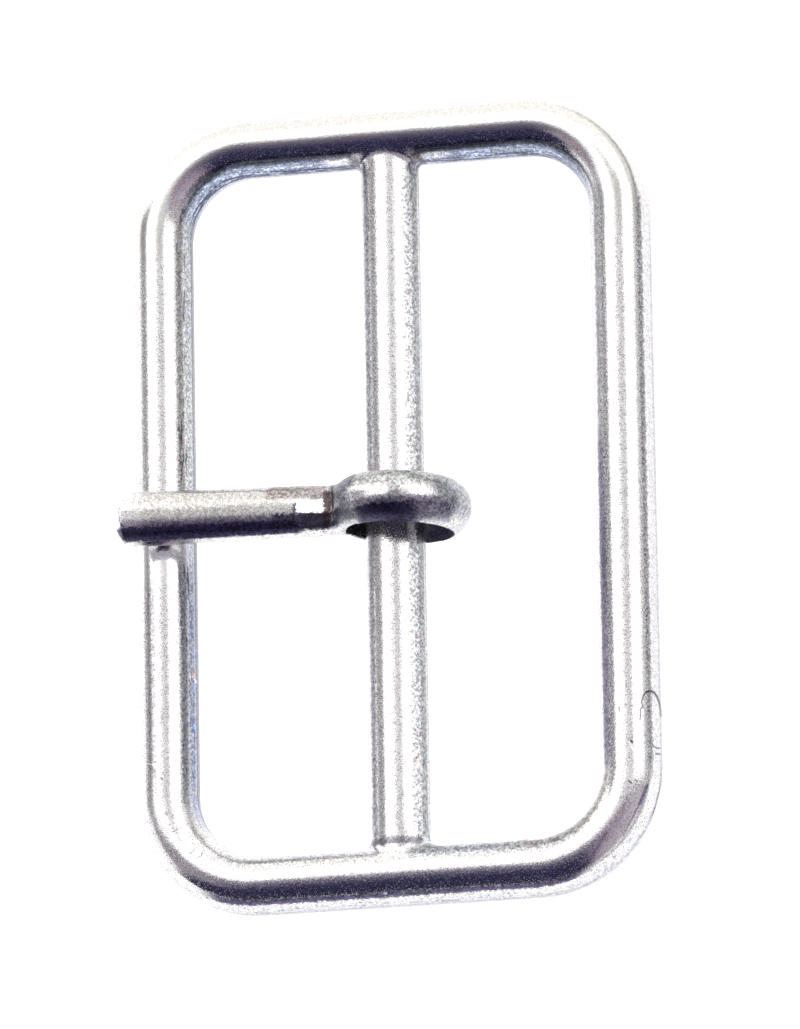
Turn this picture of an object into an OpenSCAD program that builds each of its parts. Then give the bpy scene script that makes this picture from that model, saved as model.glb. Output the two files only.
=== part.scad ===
// Waistcoat buckle: a cast frame with a centre bar, and one prong that swings on the bar.
// The origin is the middle of the bar's axis. The bar runs along Y, the prong points to -X and
// rests on the frame's long side there, and +Z is the front of the buckle.

/* [Frame] */
// Clear length of the centre bar, which is the width of strap that the buckle takes
strap_w = 25; // [18:0.5:40]
// Clear width between the two long sides, across the bar
clear_w = 14.85; // [12:0.25:24]
// Width of the frame's section
rim_w = 2.2; // [2.1:0.01:2.6]
// Height of the frame's section from its flat back to its crown
rim_h = 2.5; // [2.4:0.05:2.55]
// Radius of the section's crown, as a share of half the section's width
crown_share = 0.9; // [0.84:0.02:0.94]
// Radius of the section's two flanks, as a share of half the section's width
flank_share = 1.4; // [1.35:0.05:1.5]
// Radius that rounds the two edges of the flat back
back_edge_r = 0.4; // [0.2:0.05:0.5]
// Radius of the frame's corners, at the middle of the section
corner_r = 3.4; // [2.6:0.1:4.5]

/* [Centre bar] */
// Diameter of the bar
bar_d = 2.1; // [1.8:0.05:2.2]
// Height of the bar's underside above the frame's flat back
bar_lift = 0.1; // [0.05:0.05:0.15]
// How far the bar lies off the frame's middle line, away from the prong's tip
bar_off = 0; // [0:0.01:0.2]
// Size of the small fillet where the bar runs into the frame
bar_fillet = 0.22; // [0.1:0.02:0.3]

/* [Prong] */
// Diameter of the shank at its root, by the eye
shank_root_d = 1.84; // [1.6:0.02:2]
// Diameter of the shank at its tip
shank_tip_d = 2.0; // [1.6:0.02:2.1]
// Radius of the shank's front, which is flatter than its sides and back
front_r = 1.7; // [1.2:0.05:2.4]
// Height of the shank's front above its axis
front_h = 0.84; // [0.76:0.02:0.9]
// How far the tip passes the outer edge of the frame's long side
tip_overhang = 0.1; // [0.1:0.05:0.8]
// Radius of the domed end of the tip
tip_dome_r = 1.3; // [1.2:0.1:3]
// How far the prong is turned on the bar, seen from the front
prong_skew = 1.2; // [0:0.2:2.4]
// Place of the prong's eye along the bar
prong_y = -0.27; // [-6:0.01:6]

/* [Eye] */
// Diameter of the eye's hole, a loose fit on the bar
eye_hole_d = 3.84; // [3.5:0.02:4.1]
// Thickness of the eye's wall, which is domed outside and flat inside
eye_wall = 0.66; // [0.55:0.02:0.75]
// Width of the eye along the bar
eye_w = 1.92; // [1.6:0.04:2.4]
// How far the eye is turned against the bar, seen from the front
eye_turn = -3; // [-5:0.5:1]
// Place of the hole's middle past the bar's axis, away from the tip
eye_x = 0.36; // [0.1:0.02:0.45]
// Thickness that is left where the back of the eye is worn flat
eye_back_wall = 0.38; // [0.3:0.02:0.5]

/* [Pressed flat] */
// Length of the flat that is pressed in the shank beside the eye
flat_l = 1.1; // [0.6:0.1:1.6]
// Distance from the eye to the pressed flat
flat_offset = 0.05; // [0.05:0.05:0.5]
// Depth of the pressed flat
flat_depth = 0.12; // [0.05:0.01:0.2]

/* [Clearance] */
// Gap between the prong and what it rests on
rest_gap = 0.06; // [0.05:0.01:0.15]

/* [Hidden] */
$fn = 96;

// Depth by which two joined forms run into each other
merge = 0.01;

// Heights, measured from the bar's axis
back_z = -bar_d / 2 - bar_lift;
crown_z = back_z + rim_h;

// The middle of the frame's section runs round this rectangle
rim_x = clear_w / 2 + rim_w / 2;
rim_y = strap_w / 2 + rim_w / 2;
rim_mid = [-bar_off, 0, 0];

// Tangent arcs of the section: a crown arc, two flank arcs and two back edges
crown_r = crown_share * rim_w / 2;
flank_r = flank_share * rim_w / 2;
crown_cz = crown_z - crown_r;
flank_cx = flank_r - rim_w / 2;
flank_cz = crown_cz - sqrt(pow(flank_r - crown_r, 2) - pow(flank_cx, 2));
edge_cz = back_z + back_edge_r;
edge_cx = sqrt(pow(flank_r - back_edge_r, 2) - pow(flank_cz - edge_cz, 2)) - flank_cx;
crown_join = atan2(crown_cz - flank_cz, flank_cx);
edge_join = atan2(edge_cz - flank_cz, edge_cx + flank_cx);

// Place of the eye's hole, seen along the bar: its wall just clears the bar, behind it
eye_turn_shift = eye_w / 2 * sin(abs(eye_turn));
eye_play = eye_hole_d / 2 - bar_d / 2 - rest_gap - eye_turn_shift;
eye_z = sqrt(pow(eye_play, 2) - pow(eye_x, 2));
eye_r = eye_hole_d / 2 + eye_wall;
eye_dome_r = (pow(eye_w / 2, 2) + pow(eye_wall, 2)) / (2 * eye_wall);
eye_back_z = eye_z - eye_hole_d / 2 - eye_back_wall;

// Line of the shank: it leaves the eye below the hole's middle and clears the crown of the frame
shank_drop = 0.12;
shank_start = [eye_x, eye_z - shank_drop];
crown_point = [-rim_x - bar_off, crown_cz];
rest_share = 0.8;
shank_bar_r = (shank_root_d * (1 - rest_share) + shank_tip_d * rest_share) / 2;
lean_clear = crown_r + rest_gap + shank_bar_r;
crown_reach = norm(crown_point - shank_start);
crown_rise = atan2(crown_point[1] - shank_start[1], shank_start[0] - crown_point[0]);
shank_rise = crown_rise + asin(lean_clear / crown_reach);
shank_l = (rim_x + bar_off + rim_w / 2 + tip_overhang + eye_x) / cos(shank_rise);

// Points on an arc, from one angle to another
function arc(cx, cy, r, from, to, steps) =
    [for (i = [0:steps]) let (a = from + (to - from) * i / steps) [cx + r * cos(a), cy + r * sin(a)]];

// Right half of the frame's section, from the back up to the crown
function half_section() = concat(
    arc(edge_cx, edge_cz, back_edge_r, -90, edge_join, 5),
    arc(-flank_cx, flank_cz, flank_r, edge_join, crown_join, 8),
    arc(0, crown_cz, crown_r, crown_join, 90, 6)
);

// A list of points turned over to the other side of the section
function other_side(points) = [for (i = [len(points) - 1:-1:0]) [-points[i][0], points[i][1]]];

module rim_section() {
    polygon(concat(half_section(), other_side(half_section())));
}

// A straight side of the frame along Y
module straight_side(length) {
    rotate([90, 0, 0])
        linear_extrude(length, center = true)
            rim_section();
}

// One corner of the frame, in the quarter where X and Y are positive
module corner() {
    rotate_extrude(angle = 90)
        translate([corner_r, 0])
            rim_section();
}

module rim_sides() {
    straight_x = 2 * (rim_x - corner_r);
    straight_y = 2 * (rim_y - corner_r);
    for (side = [-1, 1]) {
        translate([side * rim_x, 0, 0])
            straight_side(straight_y);
        translate([0, side * rim_y, 0])
            rotate([0, 0, 90])
                straight_side(straight_x);
    }
    for (turn = [0:3]) {
        sx = (turn == 0 || turn == 3) ? 1 : -1;
        sy = turn < 2 ? 1 : -1;
        translate([sx * (rim_x - corner_r), sy * (rim_y - corner_r), 0])
            rotate([0, 0, 90 * turn])
                corner();
    }
}

module rim() {
    translate(rim_mid)
        rim_sides();
}

// A flared collar round one end of the bar
module bar_root() {
    flare_l = 2 * bar_fillet;
    flare_rise = 0.8 * bar_lift;
    translate([0, 0, strap_w / 2 - flare_l / 2])
        cylinder(h = flare_l, r1 = bar_d / 2 - merge, r2 = bar_d / 2 + flare_rise);
}

module bar() {
    rotate([90, 0, 0])
        cylinder(h = 2 * rim_y, d = bar_d, center = true);
    for (end = [-1, 1])
        rotate([-90 * end, 0, 0])
            bar_root();
}

// The eye about the hole's middle: a ring of round section, which the hole cuts flat inside
module eye_body() {
    rotate([90, 0, 0])
        rotate_extrude()
            translate([eye_r - eye_dome_r, 0])
                circle(r = eye_dome_r);
}

// The hole through the eye, as the piece that it takes away
module eye_hole() {
    rotate([90, 0, 0])
        cylinder(h = 2 * eye_w, d = eye_hole_d, center = true);
}

// Puts a shape at the eye's place on the bar, turned as the eye is against the shank
module at_eye() {
    translate([eye_x, 0, eye_z])
        rotate([0, 0, eye_turn - prong_skew])
            children();
}

// The shank, from the hole's middle to its domed tip, with its flatter front towards +X
module shank() {
    intersection() {
        cylinder(h = shank_l, d1 = shank_root_d, d2 = shank_tip_d);
        translate([front_h - front_r, 0, 0])
            cylinder(h = shank_l, r = front_r);
        union() {
            cylinder(h = shank_l - tip_dome_r, d = 2 * shank_tip_d);
            translate([0, 0, shank_l - tip_dome_r])
                sphere(r = tip_dome_r);
        }
    }
}

// The pressed flat on the front of the shank, as the piece that it takes away
module flat_cut() {
    translate([front_h - flat_depth, -shank_root_d / 2, eye_r + flat_offset])
        cube([shank_root_d, shank_root_d, flat_l]);
}

// Turns a shape that stands along +Z to lie along the shank's line
module along_shank() {
    translate([shank_start[0], 0, shank_start[1]])
        rotate([0, shank_rise - 90, 0])
            children();
}

// The worn back of the eye, as the piece that it takes away
module worn_back_cut() {
    translate([eye_x - eye_r, -eye_w, eye_back_z - eye_r])
        cube([2 * eye_r, 2 * eye_w, eye_r]);
}

module prong_solid() {
    difference() {
        union() {
            at_eye()
                eye_body();
            along_shank()
                difference() {
                    shank();
                    flat_cut();
                }
        }
        at_eye()
            eye_hole();
        worn_back_cut();
    }
}

module frame() {
    color("silver") {
        rim();
        bar();
    }
}

module prong() {
    color("gainsboro")
        translate([0, prong_y, 0])
            rotate([0, 0, prong_skew])
                prong_solid();
}

frame();
prong();
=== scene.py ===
"""A waistcoat buckle: a cast frame with a centre bar, and a loose prong, in worn nickel plate.

The pieces are modelled with one unit to the millimetre, in the row's frame: the origin is the
middle of the bar, the bar runs along Y, the prong's tip points to -X and +Z is the front.
"""

import logging
import math
from dataclasses import dataclass
from enum import Enum
from typing import Callable

import bpy
from mathutils import Matrix, Vector


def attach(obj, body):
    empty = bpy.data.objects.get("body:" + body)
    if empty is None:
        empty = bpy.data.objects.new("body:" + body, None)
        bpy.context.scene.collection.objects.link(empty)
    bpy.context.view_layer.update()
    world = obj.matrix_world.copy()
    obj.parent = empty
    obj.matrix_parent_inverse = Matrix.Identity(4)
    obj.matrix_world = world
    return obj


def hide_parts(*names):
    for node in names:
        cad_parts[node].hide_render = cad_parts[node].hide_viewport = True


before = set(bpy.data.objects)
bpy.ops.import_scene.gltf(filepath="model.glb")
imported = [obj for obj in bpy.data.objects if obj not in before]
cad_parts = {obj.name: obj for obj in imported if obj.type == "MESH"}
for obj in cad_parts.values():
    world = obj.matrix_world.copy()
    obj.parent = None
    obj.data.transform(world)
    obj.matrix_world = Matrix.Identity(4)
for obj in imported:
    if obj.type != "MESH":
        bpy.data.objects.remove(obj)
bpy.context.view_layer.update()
MM = 0.001
WELD = 0.001
LOG = logging.getLogger("buckle")

Point = tuple[float, float, float]
Colour = tuple[float, float, float]
Limit = tuple[float, float, float]
Span = tuple[float, float]
Noise = tuple[float, float, float]
Stops = tuple[tuple[float, Colour], ...]


class Slot(Enum):
    """The names of the record's material slots; nothing in this script uses them."""

    FRAME = "frame_plate"
    PRONG = "prong_plate"


class Bench:
    """The modelling steps that the pieces share, each one a few of Blender's own operators."""

    @staticmethod
    def clear() -> None:
        """Leaves edit mode and deselects everything."""
        if bpy.context.object and bpy.context.object.mode != "OBJECT":
            bpy.ops.object.mode_set(mode="OBJECT")
        bpy.ops.object.select_all(action="DESELECT")

    @staticmethod
    def take(*pieces: bpy.types.Object) -> None:
        """Selects these pieces alone, and makes the first one active.

        Args:
            pieces: the pieces to work on.
        """
        Bench.clear()
        for piece in pieces:
            piece.select_set(True)
        bpy.context.view_layer.objects.active = pieces[0]

    @staticmethod
    def named(name: str) -> bpy.types.Object:
        """Names the active object and its mesh.

        Args:
            name: the piece's name.

        Returns:
            The active object.
        """
        piece = bpy.context.object
        piece.name = name
        piece.data.name = name
        return piece

    @staticmethod
    def settle() -> None:
        """Applies the active piece's place, turn and scale to its mesh."""
        bpy.ops.object.transform_apply(location=True, rotation=True, scale=True)

    @staticmethod
    def weld() -> None:
        """Selects all of the open piece and joins the vertices that lie at one place."""
        bpy.ops.mesh.select_all(action="SELECT")
        bpy.ops.mesh.remove_doubles(threshold=WELD)

    @staticmethod
    def point(name: str, at: Point) -> bpy.types.Object:
        """Starts a piece as one point, in edit mode.

        Args:
            name: the piece's name.
            at: where the point lies.

        Returns:
            The new object.
        """
        Bench.clear()
        bpy.ops.mesh.primitive_plane_add(size=0.01, location=at)
        piece = Bench.named(name)
        Bench.settle()
        bpy.ops.object.mode_set(mode="EDIT")
        bpy.ops.mesh.select_mode(type="VERT")
        bpy.ops.mesh.select_all(action="SELECT")
        bpy.ops.mesh.merge(type="CENTER")
        return piece

    @staticmethod
    def spin(centre: Point, axis: Point, degrees: float, steps: int) -> None:
        """Spins what is selected about a line, leaving a trail of edges or faces.

        Args:
            centre: a point on the line.
            axis: the line's direction; a positive turn is anticlockwise seen from its head.
            degrees: how far to turn.
            steps: how many steps the turn has.
        """
        bpy.ops.mesh.spin(
            steps=steps, angle=-math.radians(degrees), center=centre, axis=axis
        )

    @staticmethod
    def pull(move: Point, steps: int) -> None:
        """Extrudes what is selected along a straight line.

        Args:
            move: the whole way.
            steps: how many equal steps it is made in.
        """
        step = tuple(part / steps for part in move)
        for _ in range(steps):
            bpy.ops.mesh.extrude_region_move(TRANSFORM_OT_translate={"value": step})

    @staticmethod
    def pick(piece: bpy.types.Object, test: Callable[[Vector], bool]) -> int:
        """Selects a piece's vertices by their place, and leaves it in edit mode.

        Args:
            piece: the piece.
            test: says whether a vertex at this place is wanted.

        Returns:
            How many vertices were selected.
        """
        Bench.take(piece)
        bpy.ops.object.mode_set(mode="EDIT")
        bpy.ops.mesh.select_mode(type="VERT")
        bpy.ops.mesh.select_all(action="DESELECT")
        bpy.ops.object.mode_set(mode="OBJECT")
        found = 0
        for vertex in piece.data.vertices:
            vertex.select = test(vertex.co)
            found += vertex.select
        bpy.ops.object.mode_set(mode="EDIT")
        return found

    @staticmethod
    def group(
        piece: bpy.types.Object, name: str, weight: Callable[[Vector], float]
    ) -> str:
        """Makes a vertex group whose weights follow the vertices' places.

        Args:
            piece: the piece.
            name: the group's name.
            weight: gives the weight at a place.

        Returns:
            The group's name.
        """
        made = piece.vertex_groups.new(name=name)
        for vertex in piece.data.vertices:
            value = weight(vertex.co)
            if value > 0.0:
                made.add([vertex.index], min(value, 1.0), "REPLACE")
        return name

    @staticmethod
    def modify(piece: bpy.types.Object, kind: str, **settings: object) -> None:
        """Adds a modifier to a piece and applies it.

        Args:
            piece: the piece.
            kind: the modifier's type.
            settings: the modifier's settings.
        """
        Bench.take(piece)
        modifier = piece.modifiers.new(kind.title(), kind)
        for key, value in settings.items():
            setattr(modifier, key, value)
        bpy.ops.object.modifier_apply(modifier=modifier.name)

    @staticmethod
    def remesh(piece: bpy.types.Object, cell: float) -> None:
        """Makes a piece one closed skin of even faces.

        Args:
            piece: the piece.
            cell: the faces' size.
        """
        Bench.modify(piece, "REMESH", mode="VOXEL", voxel_size=cell, adaptivity=0)

    @staticmethod
    def smooth(piece: bpy.types.Object, rounds: int, where: str = "") -> None:
        """Smooths a piece.

        Args:
            piece: the piece.
            rounds: how often it is smoothed.
            where: the vertex group that takes part, or none for the whole piece.
        """
        Bench.modify(piece, "SMOOTH", factor=0.5, iterations=rounds, vertex_group=where)

    @staticmethod
    def cut(
        piece: bpy.types.Object, tool: bpy.types.Object, operation: str = "DIFFERENCE"
    ) -> None:
        """Cuts one solid with another, and removes the tool.

        Args:
            piece: the solid that stays.
            tool: the solid that cuts it.
            operation: whether the tool's inside is taken away or kept.
        """
        Bench.modify(
            piece, "BOOLEAN", operation=operation, solver="EXACT", object=tool
        )
        bpy.data.objects.remove(tool, do_unlink=True)

    @staticmethod
    def join(*pieces: bpy.types.Object) -> bpy.types.Object:
        """Joins pieces into the first one.

        Args:
            pieces: the pieces.

        Returns:
            The first piece.
        """
        Bench.take(*pieces)
        bpy.ops.object.join()
        return pieces[0]

    @staticmethod
    def to_size(piece: bpy.types.Object) -> bpy.types.Object:
        """Scales a finished piece from millimetres to metres, in its mesh.

        Args:
            piece: the piece.

        Returns:
            The same piece.
        """
        Bench.take(piece)
        piece.scale = (MM, MM, MM)
        Bench.settle()
        bpy.ops.object.shade_smooth()
        return piece


def smooth_step(value: float, low: float, high: float) -> float:
    """Rises smoothly from 0 at low to 1 at high.

    Args:
        value: where to read it.
        low: the value that gives 0.
        high: the value that gives 1.

    Returns:
        A number from 0 to 1.
    """
    share = min(1.0, max(0.0, (value - low) / (high - low)))
    return share * share * (3.0 - 2.0 * share)


class Graph:
    """A node tree that is being written."""

    def __init__(self, tree: bpy.types.NodeTree) -> None:
        """Starts with an empty tree.

        Args:
            tree: the tree of a material or a world.
        """
        self.tree = tree
        tree.nodes.clear()

    def node(
        self,
        kind: str,
        settings: dict[str, object] | None = None,
        inputs: dict[str | int, object] | None = None,
    ) -> bpy.types.Node:
        """Adds a node.

        Args:
            kind: the node's type.
            settings: its settings, which are set first; "stops" gives a ramp's stops.
            inputs: values or links, by the sockets' names or numbers.

        Returns:
            The node.
        """
        made = self.tree.nodes.new(kind)
        for key, value in (settings or {}).items():
            if key == "stops":
                self._stops(made.color_ramp, value)
            else:
                setattr(made, key, value)
        for key, value in (inputs or {}).items():
            self.feed(made.inputs[key], value)
        return made

    @staticmethod
    def _stops(ramp: bpy.types.ColorRamp, stops: Stops) -> None:
        """Sets a colour ramp's stops, from low to high.

        Args:
            ramp: the ramp.
            stops: each stop's place and colour.
        """
        while len(ramp.elements) < len(stops):
            ramp.elements.new(1.0)
        for element, (place, colour) in zip(ramp.elements, stops):
            element.position = place
            element.color = (*colour, 1.0)

    def feed(self, socket: bpy.types.NodeSocket, value: object) -> None:
        """Links or sets one input.

        Args:
            socket: the input.
            value: a Wire, an output socket, or a plain value.
        """
        if isinstance(value, Wire):
            self.tree.links.new(value.out, socket)
        elif isinstance(value, bpy.types.NodeSocket):
            self.tree.links.new(value, socket)
        elif socket.type == "RGBA" and len(value) == 3:
            socket.default_value = (*value, 1.0)
        else:
            socket.default_value = value

    def wire(
        self,
        kind: str,
        settings: dict[str, object] | None = None,
        inputs: dict[str | int, object] | None = None,
        out: str | int = 0,
    ) -> "Wire":
        """Adds a node and wraps one of its outputs.

        Args:
            kind: the node's type.
            settings: its settings.
            inputs: values or links of its inputs.
            out: which output.

        Returns:
            The wrapped output.
        """
        return Wire(self, self.node(kind, settings, inputs).outputs[out])

    def step(self, value: "Wire", low: float, high: float) -> "Wire":
        """A smooth step from 0 at low to 1 at high, which may lie below low.

        Args:
            value: what is read.
            low: the value that gives 0.
            high: the value that gives 1.

        Returns:
            The step.
        """
        return self.wire(
            "ShaderNodeMapRange",
            {"interpolation_type": "SMOOTHSTEP", "clamp": False},
            {"Value": value, "From Min": low, "From Max": high},
        )

    def ramp(self, value: "Wire", low: float, high: float, stops: Stops) -> "Wire":
        """A colour that changes with a value, through a row of stops.

        Args:
            value: what is read.
            low: the value at the ramp's start.
            high: the value at the ramp's end.
            stops: each stop's value and colour, from low to high.

        Returns:
            The colour.
        """
        share = self.wire(
            "ShaderNodeMapRange",
            {"clamp": False},
            {"Value": value, "From Min": low, "From Max": high},
        )
        places = tuple(((place - low) / (high - low), colour) for place, colour in stops)
        return self.wire("ShaderNodeValToRGB", {"stops": places}, {0: share})

    def blend(
        self, share: "Wire | float", first: object, second: object, mode: str = "MIX"
    ) -> "Wire":
        """Mixes two colours.

        Args:
            share: how much of the second colour.
            first: a colour or a wire.
            second: a colour or a wire.
            mode: how the second colour acts on the first.

        Returns:
            The mixed colour.
        """
        return self.wire(
            "ShaderNodeMix",
            {"data_type": "RGBA", "clamp_factor": True, "blend_type": mode},
            {0: share, 6: first, 7: second},
            out=2,
        )

    def noise(
        self, spot: "Wire", scale: float, detail: float, rough: float
    ) -> tuple["Wire", "Wire"]:
        """A noise in space.

        Args:
            spot: the coordinates.
            scale: the noise's scale, per unit of the coordinates.
            detail: its octaves.
            rough: the share that each octave keeps.

        Returns:
            Its value and its colour.
        """
        made = self.node(
            "ShaderNodeTexNoise",
            {"noise_dimensions": "3D"},
            {"Vector": spot, "Scale": scale, "Detail": detail, "Roughness": rough},
        )
        return Wire(self, made.outputs[0]), Wire(self, made.outputs[1])

    def scaled(self, direction: Vector, share: "Wire") -> "Wire":
        """A fixed direction, scaled by a value.

        Args:
            direction: the direction.
            share: the value.

        Returns:
            The scaled direction.
        """
        return self.wire(
            "ShaderNodeVectorMath",
            {"operation": "SCALE"},
            {0: tuple(direction), "Scale": share},
        )

    def tone(self, colour: "Wire", **changes: "Wire | float") -> "Wire":
        """Changes a colour's saturation or brightness.

        Args:
            colour: the colour.
            changes: the Saturation or the Value that it is multiplied by.

        Returns:
            The changed colour.
        """
        return self.wire("ShaderNodeHueSaturation", None, {**changes, "Color": colour})

    def end(
        self, surface: bpy.types.NodeSocket, kind: str = "ShaderNodeOutputMaterial"
    ) -> None:
        """Joins the finished surface to the tree's output.

        Args:
            surface: the surface.
            kind: the output node's type.
        """
        self.feed(self.node(kind).inputs["Surface"], surface)


@dataclass(frozen=True)
class Wire:
    """An output socket that can be used in sums."""

    graph: Graph
    out: bpy.types.NodeSocket

    def math(self, operation: str, *others: "Wire | float") -> "Wire":
        """Adds a Math node after this output.

        Args:
            operation: the node's operation.
            others: its other inputs.

        Returns:
            The node's output.
        """
        inputs: dict[str | int, object] = {0: self}
        inputs.update({place: other for place, other in enumerate(others, 1)})
        return self.graph.wire("ShaderNodeMath", {"operation": operation}, inputs)

    def swapped(self, operation: str, first: float) -> "Wire":
        """Adds a Math node with a number as its first input.

        Args:
            operation: the node's operation.
            first: the number.

        Returns:
            The node's output.
        """
        return self.graph.wire(
            "ShaderNodeMath", {"operation": operation}, {0: first, 1: self}
        )

    def vector(
        self, operation: str, *others: "Wire | Point", out: str | int = 0, **inputs: float
    ) -> "Wire":
        """Adds a Vector Math node after this output.

        Args:
            operation: the node's operation.
            others: its other vectors.
            out: which output.
            inputs: further inputs by name.

        Returns:
            The node's output.
        """
        every: dict[str | int, object] = {0: self, **inputs}
        every.update({place: other for place, other in enumerate(others, 1)})
        return self.graph.wire(
            "ShaderNodeVectorMath", {"operation": operation}, every, out
        )

    def __add__(self, other: "Wire | float") -> "Wire":
        """Adds."""
        return self.math("ADD", other)

    __radd__ = __add__

    def __sub__(self, other: "Wire | float") -> "Wire":
        """Subtracts."""
        return self.math("SUBTRACT", other)

    def __rsub__(self, other: float) -> "Wire":
        """Subtracts this from a number."""
        return self.swapped("SUBTRACT", other)

    def __mul__(self, other: "Wire | float") -> "Wire":
        """Multiplies."""
        return self.math("MULTIPLY", other)

    __rmul__ = __mul__

    def __truediv__(self, other: "Wire | float") -> "Wire":
        """Divides."""
        return self.math("DIVIDE", other)

    def __pow__(self, other: float) -> "Wire":
        """Raises to a power."""
        return self.math("POWER", other)


@dataclass
class Coat:
    """What the plate has come to so far, as the wear and the painted shade are laid on it."""

    colour: Wire
    rough: Wire
    metal: Wire | float = 1.0


@dataclass(frozen=True)
class StainAndShade:
    """A soft patch within limits in the piece's millimetres: tarnish or rubbed plate, and also
    painted shade, painted reflection and painted light laid into the plate's colour.

    Each limit gives the lowest and highest value of a coordinate and how soft its ends are.
    A broken patch shows only in the streaks that rise above that level.
    """

    colour: Colour
    share: float
    limits: dict[str, Limit]
    rough: float = 0.16
    metal: float = 1.0
    grain: float = 1.0
    broken: float = 0.0
    streak_edge: float = 0.08

    def mask(self, graph: Graph, place: dict[str, Wire]) -> Wire:
        """Where the patch lies.

        Args:
            graph: the material's nodes.
            place: the coordinates that the limits are named by.

        Returns:
            The patch's share of the colour.
        """
        parts = [
            graph.step(place[name], low - soft, low + soft)
            * graph.step(place[name], high + soft, high - soft)
            for name, (low, high, soft) in self.limits.items()
        ]
        mask = parts[0] * self.share
        for part in parts[1:]:
            mask = mask * part
        if self.broken > 0.0:
            edge = self.broken + self.streak_edge
            mask = mask * graph.step(place["streaks"], self.broken, edge)
        return mask

    def lay(self, graph: Graph, place: dict[str, Wire], grain: Wire, coat: Coat) -> None:
        """Lays the patch on the plate.

        Args:
            graph: the material's nodes.
            place: the coordinates that the limits are named by.
            grain: the specks that show in the patch.
            coat: the plate so far, which is changed.
        """
        mask = self.mask(graph, place)
        shade = graph.blend(self.grain, self.colour, grain, "MULTIPLY")
        coat.colour = graph.blend(mask, coat.colour, shade)
        coat.rough = coat.rough + mask * (self.rough - coat.rough)
        if self.metal < 1.0:
            coat.metal = 1.0 - mask * (1.0 - self.metal)


@dataclass(frozen=True)
class Hairline:
    """A thin scratch or crack through a row of points, seen as the camera sees the piece.

    The points lie to the right of the bar's middle and above it, in millimetres.
    """

    points: tuple[tuple[float, float], ...]
    width: float
    colour: Colour
    share: float = 1.0
    core: float = 0.3

    def mask(self, graph: Graph, flat: Wire, right: Vector, up: Vector) -> Wire:
        """Where the line lies.

        Args:
            graph: the material's nodes.
            flat: the place in millimetres, flattened along the line of sight.
            right: the direction to the right of the line of sight.
            up: the direction up from the line of sight.

        Returns:
            The line's share of the colour.
        """
        ends = [right * across + up * along for across, along in self.points]
        near: Wire | None = None
        for start, end in zip(ends, ends[1:]):
            along = end - start
            past = flat.vector("SUBTRACT", tuple(start))
            share = past.vector("DOT_PRODUCT", tuple(along), out="Value")
            share = (share / along.length_squared).math("MAXIMUM", 0.0).math("MINIMUM", 1.0)
            foot = graph.scaled(along, share)
            gap = past.vector("SUBTRACT", foot).vector("LENGTH", out="Value")
            near = gap if near is None else near.math("MINIMUM", gap)
        return graph.step(near, self.width, self.width * self.core) * self.share


@dataclass(frozen=True)
class Noises:
    """The noises that all the plate's wear comes from."""

    specks: Wire
    play: Wire
    glints: Wire
    patches: Wire
    waves: Wire
    blots: Wire


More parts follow.
